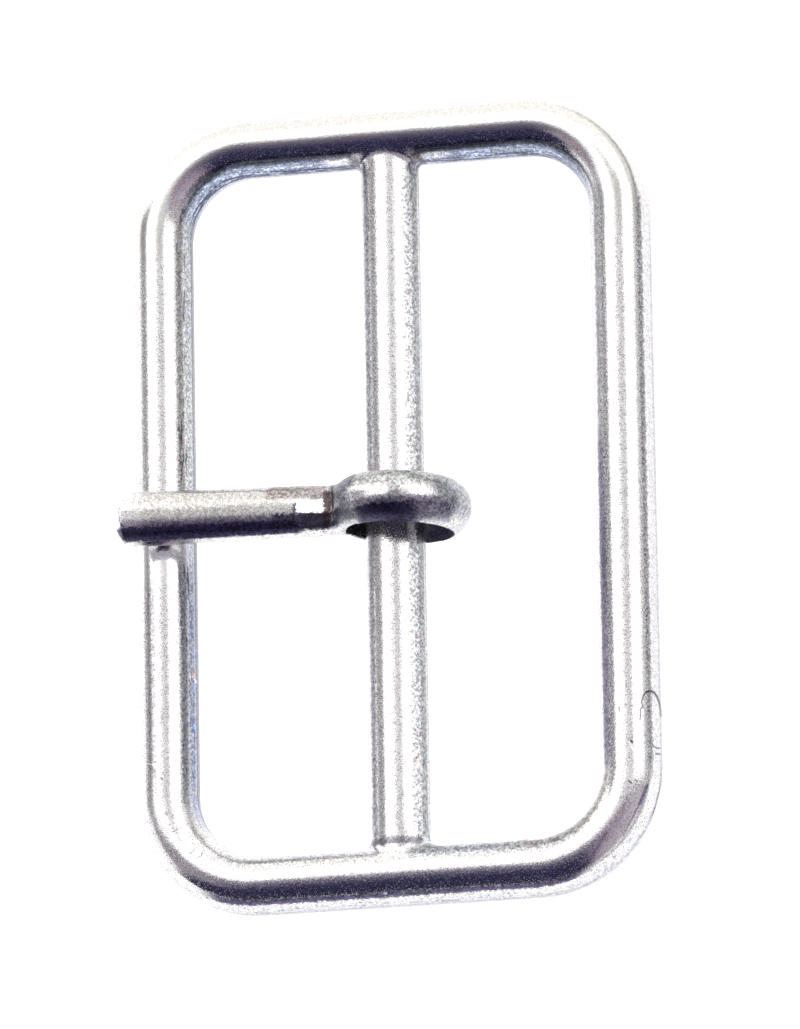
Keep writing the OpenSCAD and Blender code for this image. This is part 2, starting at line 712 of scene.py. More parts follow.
@dataclass(frozen=True)
class NickelPlate:
    """Bright nickel plate that has worn: dark specks, dull glints and low tarnish, with painted
    shade laid into the low tarnish and into a dark line low round the inside of the rim.

    A noise is its scale, per metre or for the streaks per millimetre, its octaves and the
    share that each octave keeps. Stains and painted shade are placed by the ring, a rounded
    rectangle's half sizes and corner radius, by the bore, a hole's middle in X and Z, and by
    the shank, a point on its axis with its slope and turn.
    """

    name: str
    colour: Colour = (0.80, 0.79, 0.785)
    speck_colour: Colour = (0.38, 0.37, 0.375)
    patch_speck: Colour = (0.36, 0.36, 0.37)
    patch_speck_share: float = 0.8
    tint_share: float = 0.06
    tint_saturation: float = 2.0
    patch_tint: float = 0.34
    patch_tint_value: float = 2.0
    roughness: float = 0.08
    dull_roughness: float = 0.38
    speck_noise: Noise = (22000.0, 1.0, 0.5)
    glint_noise: Noise = (19000.0, 1.0, 0.5)
    patch_noise: Noise = (4200.0, 3.0, 0.6)
    wave_noise: Noise = (700.0, 1.0, 0.4)
    blot_noise: Noise = (8500.0, 2.0, 0.6)
    streak_noise: Noise = (9.0, 2.0, 0.6)
    streak_stretch: float = 0.13
    patch_jitter: float = 0.16
    glint_jitter: float = 0.22
    blot_jitter: float = 0.14
    speck_share: float = 0.75
    speck_span: Span = (0.46, 0.64)
    glint_span: Span = (0.52, 0.66)
    blot_span: Span = (0.36, 0.64)
    blot_bright: float = 1.05
    blot_dim: float = 0.50
    pit_span: Span = (0.3, 0.62)
    pit_depth: float = 0.0000010
    patch_depth: float = 0.0000025
    wave_depth: float = 0.000006
    # Low tarnish with painted shade: the low flanks darken, most on the inner flanks, whose
    # reflected floor lies in shade.
    tarnish_shade_colour: Colour = (0.25, 0.31, 0.42)
    tarnish_dull: float = 0.6
    outer_tarnish_shade: float = 0.22
    inner_tarnish_shade: float = 0.40
    bar_tarnish_shade: float = 0.10
    tarnish_shade_span: Span = (0.72, 0.25)
    outer_span: Span = (-0.3, 0.3)
    bar_span: Span = (-1.4, -1.9)
    # Painted shade: a dark line low round the inside of the rim, where the flank reflects the
    # shaded floor.
    edge_shade_colour: Colour = (0.06, 0.065, 0.08)
    edge_shade_share: float = 0.85
    edge_shade_top: float = 0.26
    edge_shade_bottom: float = 0.10
    edge_shade_soft: float = 0.05
    edge_shade_offset: Span = (-1.6, -1.3)
    edge_shade_fade_span: Span = (-12.0, -13.4)
    edge_shade_fade_share: float = 0.6
    line_span: Span = (-0.5, -0.4)
    ring: tuple[float, float, float] | None = None
    bore: tuple[float, float] | None = None
    shank: tuple[Point, float, float] | None = None
    stains_and_shade: tuple[StainAndShade, ...] = ()
    hairlines: tuple[Hairline, ...] = ()

    def noises(self, graph: Graph, spot: Wire) -> Noises:
        """Writes the plate's noises.

        Args:
            graph: the material's nodes.
            spot: the object's coordinates, in metres.

        Returns:
            The noises.
        """
        specks, play = graph.noise(spot, *self.speck_noise)
        glints, patches, waves, blots = (
            graph.noise(spot, *noise)[0]
            for noise in (self.glint_noise, self.patch_noise, self.wave_noise, self.blot_noise)
        )
        return Noises(specks, play, glints, patches, waves, blots)

    def offset(self, x: Wire, y: Wire) -> Wire:
        """How far a place lies outside the middle line of the rim.

        Args:
            x: the place across the bar, in millimetres.
            y: the place along the bar.

        Returns:
            The distance in millimetres, negative inside.
        """
        half_x, half_y, corner = self.ring
        over_x = x.math("ABSOLUTE") - (half_x - corner)
        over_y = y.math("ABSOLUTE") - (half_y - corner)
        beyond = over_x.math("MAXIMUM", 0.0) ** 2 + over_y.math("MAXIMUM", 0.0) ** 2
        return beyond**0.5 + over_x.math("MAXIMUM", over_y).math("MINIMUM", 0.0) - corner

    def tarnish_and_shade(self, graph: Graph, place: dict[str, Wire]) -> Wire:
        """How strong the tarnish and the painted shade are on the low flanks, the shade
        strongest on the inner flanks, whose reflected floor lies in shade.

        Args:
            graph: the material's nodes.
            place: the coordinates.

        Returns:
            The share of the colour that the tarnish and the painted shade take.
        """
        low = graph.step(place["z"], *self.tarnish_shade_span)
        if self.ring is None:
            return low * self.outer_tarnish_shade
        outer = graph.step(place["offset"], *self.outer_span) * (
            self.outer_tarnish_shade - self.inner_tarnish_shade
        )
        bar = graph.step(place["offset"], *self.bar_span) * (
            self.bar_tarnish_shade - self.inner_tarnish_shade
        )
        return low * (outer + bar + self.inner_tarnish_shade)

    def places(
        self, graph: Graph, x: Wire, y: Wire, z: Wire, noises: Noises
    ) -> dict[str, Wire]:
        """The coordinates that stains and painted shade are placed by, which waver a little.

        Args:
            graph: the material's nodes.
            x: the place across the bar, in millimetres.
            y: the place along the bar.
            z: the height.
            noises: the plate's noises.

        Returns:
            The coordinates by name.
        """
        jitter = (
            (noises.patches - 0.5) * self.patch_jitter
            + (noises.glints - 0.5) * self.glint_jitter
            + (noises.blots - 0.5) * self.blot_jitter
        )
        place = {"x": x + jitter, "y": y + jitter, "z": z + jitter}
        if self.ring is not None:
            place["offset"] = self.offset(x, y)
            place["beside"] = x.math("ABSOLUTE") + jitter
            along = (x + y) * self.streak_stretch
            swept = graph.wire(
                "ShaderNodeCombineXYZ", None, {"X": place["offset"], "Y": z, "Z": along}
            )
            place["streaks"] = graph.noise(swept, *self.streak_noise)[0]
        if self.bore is not None:
            aside, above = x - self.bore[0], z - self.bore[1]
            place["bore"] = (aside**2 + above**2) ** 0.5
        if self.shank is not None:
            start, slope, turn = self.shank
            along = x - start[0]
            place["over"] = z - start[2] + along * slope + jitter
            place["aside"] = y - start[1] - along * turn + jitter
        return place

    def edge_shade(self, graph: Graph, y: Wire, place: dict[str, Wire]) -> Wire:
        """How strong the painted shade is in a dark line low round the inside of the rim.

        Args:
            graph: the material's nodes.
            y: the place along the bar, in millimetres.
            place: the coordinates that stains and painted shade are placed by.

        Returns:
            The painted shade's share of the colour.
        """
        line = (
            graph.step(place["z"], self.edge_shade_top, self.edge_shade_top - self.edge_shade_soft)
            * graph.step(place["z"], self.edge_shade_bottom - self.edge_shade_soft, self.edge_shade_bottom)
            * graph.step(place["offset"], *self.edge_shade_offset)
            * (1.0 - graph.step(y, *self.edge_shade_fade_span) * self.edge_shade_fade_share)
        )
        return line * self.edge_shade_share

    def grain(self, graph: Graph, dark: Wire, noises: Noises) -> Wire:
        """The specks, blots and tints that a patch's colour is multiplied by.

        Args:
            graph: the material's nodes.
            dark: where the specks are.
            noises: the plate's noises.

        Returns:
            The grain's colour.
        """
        uneven = graph.step(noises.blots, *self.blot_span) * self.blot_bright + self.blot_dim
        tint = graph.tone(
            noises.play, Saturation=self.tint_saturation, Value=self.patch_tint_value
        )
        grain = graph.blend(
            dark * self.patch_speck_share, (1.0, 1.0, 1.0), self.patch_speck
        )
        return graph.blend(self.patch_tint, graph.tone(grain, Value=uneven), tint, "MULTIPLY")

    def scratch(self, graph: Graph, metric: Wire, z: Wire, coat: Coat) -> None:
        """Draws the hairlines on the plate.

        Args:
            graph: the material's nodes.
            metric: the place in millimetres.
            z: the height, below which no line is drawn.
            coat: the plate so far, which is changed.
        """
        right, up, back = Studio().axes()
        depth = metric.vector("DOT_PRODUCT", tuple(back), out="Value")
        flat = metric.vector("SUBTRACT", graph.scaled(back, depth))
        front = graph.step(z, *self.line_span)
        for line in self.hairlines:
            mask = line.mask(graph, flat, right, up) * front
            coat.colour = graph.blend(mask, coat.colour, line.colour)

    def build(self) -> bpy.types.Material:
        """Writes the material.

        Returns:
            The material.
        """
        material = bpy.data.materials.new(self.name)
        material.use_nodes = True
        graph = Graph(material.node_tree)
        spot = graph.wire("ShaderNodeTexCoord", out="Object")
        metric = spot.vector("SCALE", Scale=1.0 / MM)
        parts = graph.node("ShaderNodeSeparateXYZ", None, {0: metric})
        x, y, z = (Wire(graph, parts.outputs[name]) for name in "XYZ")
        noises = self.noises(graph, spot)
        place = self.places(graph, x, y, z, noises)

        dark = graph.step(
            noises.specks * self.speck_share + noises.patches * (1.0 - self.speck_share),
            *self.speck_span,
        )
        dull = graph.step(noises.glints, *self.glint_span)
        tint = graph.tone(noises.play, Saturation=self.tint_saturation)
        colour = graph.blend(dark, self.colour, self.speck_colour)
        colour = graph.blend(self.tint_share, colour, tint)
        # Low tarnish and painted shade on the low flanks.
        low = self.tarnish_and_shade(graph, place)
        colour = graph.blend(low, colour, self.tarnish_shade_colour)
        # A dark line of painted shade low round the inside of the rim.
        if self.ring is not None:
            colour = graph.blend(self.edge_shade(graph, y, place), colour, self.edge_shade_colour)
        worn = dull.math("MAXIMUM", low * self.tarnish_dull)
        rough = self.roughness + worn * (self.dull_roughness - self.roughness)

        coat = Coat(colour, rough)
        grain = self.grain(graph, dark, noises)
        for patch in self.stains_and_shade:
            if patch.broken == 0.0:
                patch.lay(graph, place, grain, coat)
        if self.hairlines:
            self.scratch(graph, metric, z, coat)
        for patch in self.stains_and_shade:
            if patch.broken > 0.0:
                patch.lay(graph, place, grain, coat)

        relief = (
            graph.step(noises.specks, *self.pit_span) * self.pit_depth
            + noises.patches * self.patch_depth
            + noises.waves * self.wave_depth
        )
        bump = graph.wire(
            "ShaderNodeBump", None, {"Strength": 1.0, "Distance": 1.0, "Height": relief}
        )
        surface = graph.node(
            "ShaderNodeBsdfPrincipled",
            None,
            {
                "Base Color": coat.colour,
                "Metallic": coat.metal,
                "Roughness": coat.rough,
                "Normal": bump,
            },
        )
        graph.end(surface.outputs["BSDF"])
        return material


# How far a patch reaches: the lowest and the highest value, and how soft its ends are.
NEAR_INNER: Limit = (-8.3, -7.0, 0.1)
NEAR_ABOVE: Limit = (-1.0, 11.0, 1.5)
NEAR_BELOW: Limit = (-11.0, -1.5, 1.5)
FAR_INNER: Limit = (7.0, 8.2, 0.05)
TOP_SIDE: Limit = (10.8, 14.5, 1.0)
TOP_INNER: Limit = (-1.13, 0.0, 0.02)
OUTLINE: Limit = (0.9, 2.0, 0.03)
BOTTOM_FLANK: Limit = (-15.0, -12.0, 0.5)
BOTTOM_INNER: Limit = (-13.6, -11.9, 0.3)
ON_CROWN: Limit = (1.0, 1.6, 0.06)
ON_EYE: Limit = (1.5, 4.0, 0.2)
ON_FLAT: Limit = (1.2, 3.0, 0.1)

# The near side is the long side that the prong's tip rests on, and the far side is the other.
# Many of these patches paint the plate's reflected bands and shade, beside real tarnish and
# dirt.
FRAME_STAINS_AND_SHADE: tuple[StainAndShade, ...] = (
    # The top side's clean outer flank, and a darker, duller line of painted shade along its
    # outline.
    StainAndShade(
        (0.62, 0.61, 0.58), 0.85,
        {"y": (9.5, 15.5, 1.0), "offset": (-0.35, 2.0, 0.15), "z": (-2.0, 2.0, 0.1)},
        0.08, grain=0.16,
    ),
    StainAndShade(
        (0.42, 0.41, 0.38), 0.85,
        {"y": (9.2, 15.5, 1.0), "offset": OUTLINE, "z": (-2.0, 0.10, 0.06)},
        0.16, grain=0.30,
    ),
    # The near side under the prong: a polished crown, a white matt patch of painted light over
    # the prong's dark reflection, and a dark spot of painted shadow and reflection under the
    # shank.
    StainAndShade(
        (0.80, 0.79, 0.785), 1.0,
        {"x": (-9.4, -7.6, 0.1), "y": (-2.6, -1.2, 0.2), "z": ON_CROWN},
        0.05, grain=0.2,
    ),
    StainAndShade(
        (1.0, 1.0, 1.0), 1.0,
        {"x": (-8.78, -8.08, 0.06), "y": (-1.70, -1.34, 0.06), "z": ON_CROWN},
        0.30, 0.1, grain=0.1,
    ),
    StainAndShade(
        (0.05, 0.04, 0.09), 0.90,
        {"x": (-8.52, -8.05, 0.08), "y": (-1.39, -0.9, 0.05), "z": ON_CROWN},
        0.40,
    ),
    # The top side's blue inner flank: light streaks, a dark lower line of painted shade, dirt
    # in the corners beside the bar, and a dark upper edge.
    StainAndShade(
        (0.20, 0.24, 0.34), 0.87,
        {
            "y": TOP_SIDE, "beside": (2.2, 9.0, 0.40),
            "offset": TOP_INNER, "z": (0.1, 0.92, 0.06),
        },
    ),
    StainAndShade(
        (0.55, 0.60, 0.78), 0.80,
        {
            "y": TOP_SIDE, "beside": (1.3, 9.0, 0.10),
            "offset": TOP_INNER, "z": (0.1, 0.80, 0.06),
        },
        broken=0.52,
    ),
    StainAndShade(
        (0.06, 0.07, 0.13), 0.85,
        {
            "y": (10.8, 14.5, 0.5), "beside": (1.2, 9.0, 0.06),
            "offset": (-1.2, -0.5, 0.02), "z": (0.1, 0.47, 0.03),
        },
        0.25,
    ),
    StainAndShade(
        (0.11, 0.09, 0.13), 0.80,
        {
            "y": (12.3, 12.75, 0.10), "beside": (0.95, 1.35, 0.05),
            "z": (0.3, 1.1, 0.10),
        },
        0.30,
    ),
    StainAndShade(
        (0.10, 0.11, 0.17), 0.85,
        {
            "y": (11.6, 14.5, 0.7), "beside": (1.15, 9.0, 0.06),
            "offset": (-1.13, 0.1, 0.02), "z": (0.82, 1.10, 0.05),
        },
    ),
    # The bottom side's navy outer edge, its dark reflected band painted in, and the streaks on
    # its outer flank.
    StainAndShade(
        (0.085, 0.072, 0.145), 0.96,
        {"y": (-15.0, -13.2, 0.4), "x": (-7.0, 7.0, 0.6), "z": (0.80, 1.04, 0.05)},
        0.34,
    ),
    StainAndShade(
        (0.12, 0.12, 0.20), 0.80,
        {"y": BOTTOM_FLANK, "offset": OUTLINE, "z": (0.20, 0.62, 0.06)},
        0.20, broken=0.57,
    ),
    StainAndShade(
        (0.62, 0.62, 0.64), 0.55,
        {"y": BOTTOM_FLANK, "offset": OUTLINE, "z": (-0.3, 0.80, 0.05)},
        0.20, broken=0.44,
    ),
    # The bottom side's inner edge, left and right of the bar.
    StainAndShade(
        (0.55, 0.55, 0.55), 0.60,
        {"y": BOTTOM_INNER, "x": (-6.5, -0.6, 0.6), "z": (0.98, 1.25, 0.05)},
        0.30,
    ),
    StainAndShade(
        (0.48, 0.495, 0.54), 0.92,
        {"y": BOTTOM_INNER, "x": (0.6, 7.0, 0.6), "z": (0.89, 1.25, 0.06)},
        0.30,
    ),
    # The near side's inner flank: its dark edge above and below the prong, its upper half,
    # and the dark line of painted shade along its outline.
    StainAndShade(
        (0.32, 0.31, 0.30), 0.85,
        {"x": NEAR_INNER, "y": NEAR_ABOVE, "z": (0.74, 0.99, 0.05)},
        0.35,
    ),
    StainAndShade(
        (0.19, 0.19, 0.23), 0.90,
        {"x": NEAR_INNER, "y": NEAR_BELOW, "z": (0.72, 0.99, 0.05)},
        0.35,
    ),
    StainAndShade(
        (0.40, 0.405, 0.42), 0.78,
        {"x": NEAR_INNER, "y": NEAR_ABOVE, "z": (0.26, 0.70, 0.08)},
    ),
    StainAndShade(
        (0.18, 0.18, 0.24), 0.85,
        {"x": (-8.0, -7.0, 0.1), "y": (-11.0, 11.0, 1.0), "z": (-0.5, 0.07, 0.03)},
        0.30,
    ),
    # The bar's low right edge, darkened as painted shade, and the dirt where it meets the
    # bottom side.
    StainAndShade(
        (0.40, 0.40, 0.41), 0.90,
        {"x": (0.6, 1.3, 0.1), "y": (-12.2, 12.2, 0.2), "z": (-0.5, 0.08, 0.05)},
        0.30,
    ),
    StainAndShade(
        (0.12, 0.10, 0.15), 0.75,
        {"x": (-0.95, 0.95, 0.1), "y": (-12.62, -12.34, 0.05), "z": (0.3, 1.4, 0.1)},
        0.30,
    ),
    # The near side's inner flank below the prong: blue and dark streaks and a warm spot.
    StainAndShade(
        (0.27, 0.285, 0.35), 0.90,
        {"x": NEAR_INNER, "y": NEAR_BELOW, "z": (0.30, 0.70, 0.08)},
    ),
    StainAndShade(
        (0.14, 0.20, 0.50), 0.80,
        {"x": NEAR_INNER, "y": NEAR_BELOW, "z": (0.10, 0.62, 0.08)},
        broken=0.54,
    ),
    StainAndShade(
        (0.05, 0.05, 0.065), 0.80,
        {"x": NEAR_INNER, "y": (-11.5, 11.5, 1.5), "z": (0.58, 0.98, 0.06)},
        0.30, broken=0.56,
    ),
    StainAndShade(
        (0.95, 0.72, 0.52), 0.75,
        {"x": NEAR_INNER, "y": (-6.05, -5.75, 0.12), "z": (0.20, 0.62, 0.08)},
    ),
    # The bar's stripes, from left to right: reflected bands, painted into its colour.
    StainAndShade(
        (0.43, 0.42, 0.45), 0.90,
        {"x": (-1.2, -0.2, 0.1), "y": (-12.3, 12.3, 0.1), "z": (0.64, 0.88, 0.06)},
        0.40,
    ),
    StainAndShade(
        (1.0, 1.0, 1.0), 1.0,
        {"x": (0.3, 1.2, 0.1), "y": (-12.2, 12.2, 0.2), "z": (0.575, 0.84, 0.03)},
        0.45,
    ),
    StainAndShade(
        (0.33, 0.33, 0.335), 0.90,
        {"x": (0.3, 1.2, 0.1), "y": (-12.3, 12.3, 0.1), "z": (0.16, 0.53, 0.04)},
        0.30,
    ),
    # The far side's inner flank, round the corner below it, and its outline of painted shade.
    StainAndShade(
        (0.34, 0.33, 0.36), 0.70,
        {"x": FAR_INNER, "y": (2.0, 11.0, 1.0), "z": (0.99, 1.22, 0.05)},
        0.40,
    ),
    StainAndShade(
        (0.23, 0.205, 0.29), 0.88,
        {"x": FAR_INNER, "y": (-10.5, 2.0, 1.0), "z": (0.92, 1.22, 0.05)},
        0.40,
    ),
    StainAndShade(
        (0.40, 0.37, 0.34), 0.80,
        {
            "x": (4.2, 8.2, 0.5), "y": (-13.5, -10.8, 0.5),
            "offset": (-1.2, -0.3, 0.05), "z": (0.92, 1.20, 0.05),
        },
        0.35,
    ),
    StainAndShade(
        (0.43, 0.47, 0.57), 0.80,
        {"x": FAR_INNER, "y": (-11.0, 10.5, 0.8), "z": (0.2, 0.72, 0.05)},
        0.25, grain=0.5,
    ),
    # The outer flanks of both long sides; the far side's low outer flank is painted shade.
    StainAndShade(
        (0.30, 0.29, 0.30), 0.88,
        {"x": (8.7, 9.8, 0.05), "y": (-10.6, 10.6, 0.6), "z": (0.73, 0.93, 0.04)},
        0.30,
    ),
    StainAndShade(
        (0.32, 0.30, 0.32), 0.65,
        {"x": (-8.91, -8.64, 0.04), "y": (-10.6, -2.0, 1.5), "z": (1.2, 1.5, 0.03)},
    ),
    StainAndShade(
        (0.55, 0.55, 0.57), 0.55,
        {"x": (9.0, 9.8, 0.1), "y": (-10.6, 10.6, 0.8), "z": (-0.4, 0.68, 0.05)},
        0.25, grain=0.5,
    ),
)

FRAME_SCRATCHES: tuple[Hairline, ...] = (
    # A hooked crack in the far side's outer flank, and the nicks below it.
    Hairline(
        (
            (8.90, -6.66), (9.04, -6.62), (9.19, -6.68), (9.31, -6.86),
            (9.38, -7.07), (9.43, -7.34), (9.44, -7.52),
        ),
        0.055, (0.05, 0.05, 0.07), 0.92,
    ),
    Hairline(
        (
            (8.90, -6.66), (8.80, -6.79), (8.73, -7.01), (8.78, -7.17),
            (8.69, -7.27), (8.70, -7.48), (8.67, -7.64),
        ),
        0.045, (0.12, 0.10, 0.11), 0.85,
    ),
    Hairline(
        ((9.10, -8.49), (9.17, -8.59), (9.27, -8.65), (9.38, -8.66)),
        0.045, (0.14, 0.13, 0.15), 0.85,
    ),
    Hairline(((9.24, -8.84), (9.39, -8.87)), 0.05, (0.10, 0.10, 0.10), 0.85),
    Hairline(((9.03, -8.63), (8.83, -8.82)), 0.03, (0.90, 0.90, 0.90), 0.80),
    # Nicks on the far side's crown.
    Hairline(((8.29, -8.43), (8.42, -8.71)), 0.05, (1.00, 1.00, 1.00), 0.95),
    Hairline(((8.36, -8.38), (8.39, -8.42)), 0.07, (0.06, 0.05, 0.07), 0.90),
    Hairline(((7.94, -7.20), (7.94, -7.32)), 0.05, (0.16, 0.15, 0.16), 0.85),
    Hairline(((8.27, -9.79), (8.36, -9.86)), 0.05, (0.10, 0.10, 0.10), 0.85),
    Hairline(((8.49, -9.75), (8.56, -9.81)), 0.045, (0.16, 0.16, 0.16), 0.85),
    # The edges of the rubbed wedge at the corner below the far side.
    Hairline(
        ((8.92, -9.96), (8.83, -10.20), (8.66, -10.60)),
        0.09, (0.10, 0.07, 0.18), 0.75,
    ),
    Hairline(
        ((8.66, -10.60), (8.36, -11.18), (8.08, -11.72)),
        0.045, (0.30, 0.22, 0.34), 0.70,
    ),
    Hairline(
        ((6.50, -13.00), (6.95, -12.50), (7.48, -11.60)),
        0.09, (0.12, 0.09, 0.20), 0.40,
    ),
    # Scratches round the corner below the near side.
    Hairline(((-8.90, -9.28), (-8.63, -9.32)), 0.035, (1.00, 1.00, 1.00), 0.90),
    Hairline(((-7.94, -11.70), (-7.67, -11.55)), 0.035, (0.26, 0.25, 0.27), 0.80),
    Hairline(
        ((-7.34, -12.47), (-7.24, -12.39), (-7.17, -12.32)),
        0.035, (0.22, 0.21, 0.24), 0.80,
    ),
    Hairline(
        ((-7.04, -12.60), (-6.93, -12.55), (-6.89, -12.43)),
        0.035, (0.22, 0.21, 0.24), 0.80,
    ),
    # Nicks and light scratches on the bottom side.
    Hairline(((-5.26, -13.75), (-5.18, -13.88)), 0.04, (0.85, 0.85, 0.90), 0.85),
    Hairline(((-6.83, -13.71), (-6.81, -13.76)), 0.06, (0.12, 0.11, 0.12), 0.85),
    Hairline(((-6.74, -14.04), (-6.70, -14.06)), 0.05, (0.16, 0.15, 0.16), 0.85),
    Hairline(((-4.64, -14.18), (-4.57, -14.19)), 0.06, (0.05, 0.05, 0.07), 0.90),
    Hairline(((-8.38, -9.78), (-8.34, -9.83)), 0.06, (0.14, 0.13, 0.13), 0.85),
    Hairline(((1.09, -13.55), (1.59, -13.47)), 0.035, (1.00, 1.00, 1.00), 0.90),
    Hairline(((1.69, -13.47), (1.71, -13.47)), 0.05, (1.00, 1.00, 1.00), 0.90),
    Hairline(((-0.37, -13.81), (-0.34, -13.83)), 0.08, (0.80, 0.78, 0.85), 0.60),
)

# Many of these patches paint the prong's reflected bands and shade, beside real wear.
PRONG_STAINS_AND_SHADE: tuple[StainAndShade, ...] = (
    # The eye: dull all over, mottled on top, darker at its right end, and darkened as painted
    # reflection between its two bright spots and in bands lower down.
    StainAndShade((0.60, 0.59, 0.60), 0.55, {"x": (-1.6, 3.2, 0.4)}, 0.26),
    StainAndShade(
        (0.42, 0.42, 0.40), 0.70,
        {"x": (-1.3, 2.6, 0.3), "y": (0.08, 1.2, 0.10), "z": ON_EYE}, 0.30,
    ),
    StainAndShade(
        (0.28, 0.28, 0.31), 0.70,
        {"x": (2.05, 3.4, 0.12), "y": (-0.9, 0.6, 0.20), "z": (0.4, 2.75, 0.15)}, 0.35,
    ),
    StainAndShade(
        (0.30, 0.28, 0.31), 0.75,
        {"x": (0.50, 0.98, 0.15), "y": (-0.6, 0.05, 0.12), "z": (2.0, 4.0, 0.2)}, 0.35,
    ),
    StainAndShade(
        (0.24, 0.22, 0.27), 0.75,
        {"x": (-1.0, 2.3, 0.25), "y": (-0.80, -0.40, 0.08), "z": ON_EYE}, 0.35,
    ),
    StainAndShade(
        (0.22, 0.20, 0.27), 0.80,
        {"x": (1.30, 2.6, 0.20), "y": (-1.2, -0.5, 0.10), "z": (1.6, 3.2, 0.15)}, 0.35,
    ),
    StainAndShade(
        (0.045, 0.038, 0.10), 0.93,
        {"x": (-0.80, 1.45, 0.25), "y": (-1.30, -0.62, 0.06), "z": (2.2, 4.0, 0.2)}, 0.40,
    ),
    # The neck.
    StainAndShade(
        (0.17, 0.17, 0.205), 0.87,
        {"x": (-2.03, -0.84, 0.08), "y": (-1.02, 1.2, 0.07), "z": (0.9, 2.85, 0.2)}, 0.42,
    ),
    # The shank: mottled above; violet in the middle and navy below, its dark reflected band
    # painted in.
    StainAndShade(
        (0.50, 0.475, 0.45), 0.72,
        {"x": (-8.7, -3.3, 0.5), "aside": (-0.38, 1.1, 0.06)}, 0.28, grain=0.7,
    ),
    StainAndShade(
        (0.16, 0.145, 0.22), 0.85,
        {"x": (-8.6, -3.1, 0.50), "aside": (-1.1, -0.28, 0.12), "over": (0.40, 0.95, 0.08)},
        0.32,
    ),
    StainAndShade(
        (0.045, 0.036, 0.10), 0.94,
        {"x": (-9.95, -3.1, 0.12), "aside": (-1.1, -0.44, 0.07), "over": (0.38, 0.88, 0.07)},
        0.45,
    ),
    # Round the pressed flat: brown above it, navy below it as painted reflection, its bright
    # window, and dark lines of painted shade left and right of the window, at the flat's steps.
    StainAndShade(
        (0.34, 0.29, 0.28), 0.85,
        {"x": (-4.2, -2.1, 0.12), "y": (-0.03, 1.2, 0.05), "z": (0.9, 2.9, 0.1)}, 0.35,
    ),
    StainAndShade(
        (0.06, 0.05, 0.09), 0.93,
        {"x": (-4.0, -2.05, 0.04), "y": (-1.12, -0.57, 0.04), "z": (1.25, 2.5, 0.06)},
        0.45,
    ),
    StainAndShade(
        (0.95, 0.95, 0.95), 0.90,
        {"x": (-3.12, -2.16, 0.03), "y": (-0.52, -0.05, 0.03), "z": ON_FLAT}, 0.12,
        grain=0.2,
    ),
    StainAndShade(
        (0.10, 0.08, 0.12), 0.90,
        {"x": (-3.24, -3.12, 0.02), "y": (-0.6, -0.2, 0.05), "z": ON_FLAT}, 0.40,
    ),
    StainAndShade(
        (0.09, 0.06, 0.06), 0.92,
        {"x": (-2.21, -1.96, 0.02), "y": (-1.0, 0.3, 0.08), "z": ON_FLAT}, 0.40,
    ),
    # The wall of the eye's hole.
    StainAndShade((0.07, 0.06, 0.11), 1.0, {"bore": (0.0, 1.93, 0.015)}, 0.60, 0.25),
)


@dataclass(frozen=True)
class PaleFloor:
    """The pale matt floor, lit a little from within; painted shade darkens it far to the right.
    """

    name: str = "pale_floor"
    colour: Colour = (0.80, 0.80, 0.80)
    glow: float = 0.85
    # Painted shade: far to the right the floor's colour and glow fall off.
    far_shade_colour: Colour = (0.30, 0.30, 0.31)
    far_shade_glow: Colour = (0.30, 0.30, 0.31)
    far_start: float = 17.0
    far_end: float = 22.0

    def build(self) -> bpy.types.Material:
        """Writes the material.

        Returns:
            The material.
        """
        material = bpy.data.materials.new(self.name)
        material.use_nodes = True
        graph = Graph(material.node_tree)
        spot = graph.wire("ShaderNodeTexCoord", out="Object")
        parts = graph.node("ShaderNodeSeparateXYZ", None, {0: spot})
        across = Wire(graph, parts.outputs["X"]) * (1.0 / MM)
        far = graph.step(across, self.far_start, self.far_end)
        surface = graph.node(
            "ShaderNodeBsdfPrincipled",
            None,
            {
                "Base Color": graph.blend(far, self.colour, self.far_shade_colour),
                "Roughness": 1.0,
                "Specular IOR Level": 0.0,
                "Emission Color": graph.blend(far, (1.0, 1.0, 1.0), self.far_shade_glow),
                "Emission Strength": self.glow,
            },
        )
        graph.end(surface.outputs["BSDF"])
        return material


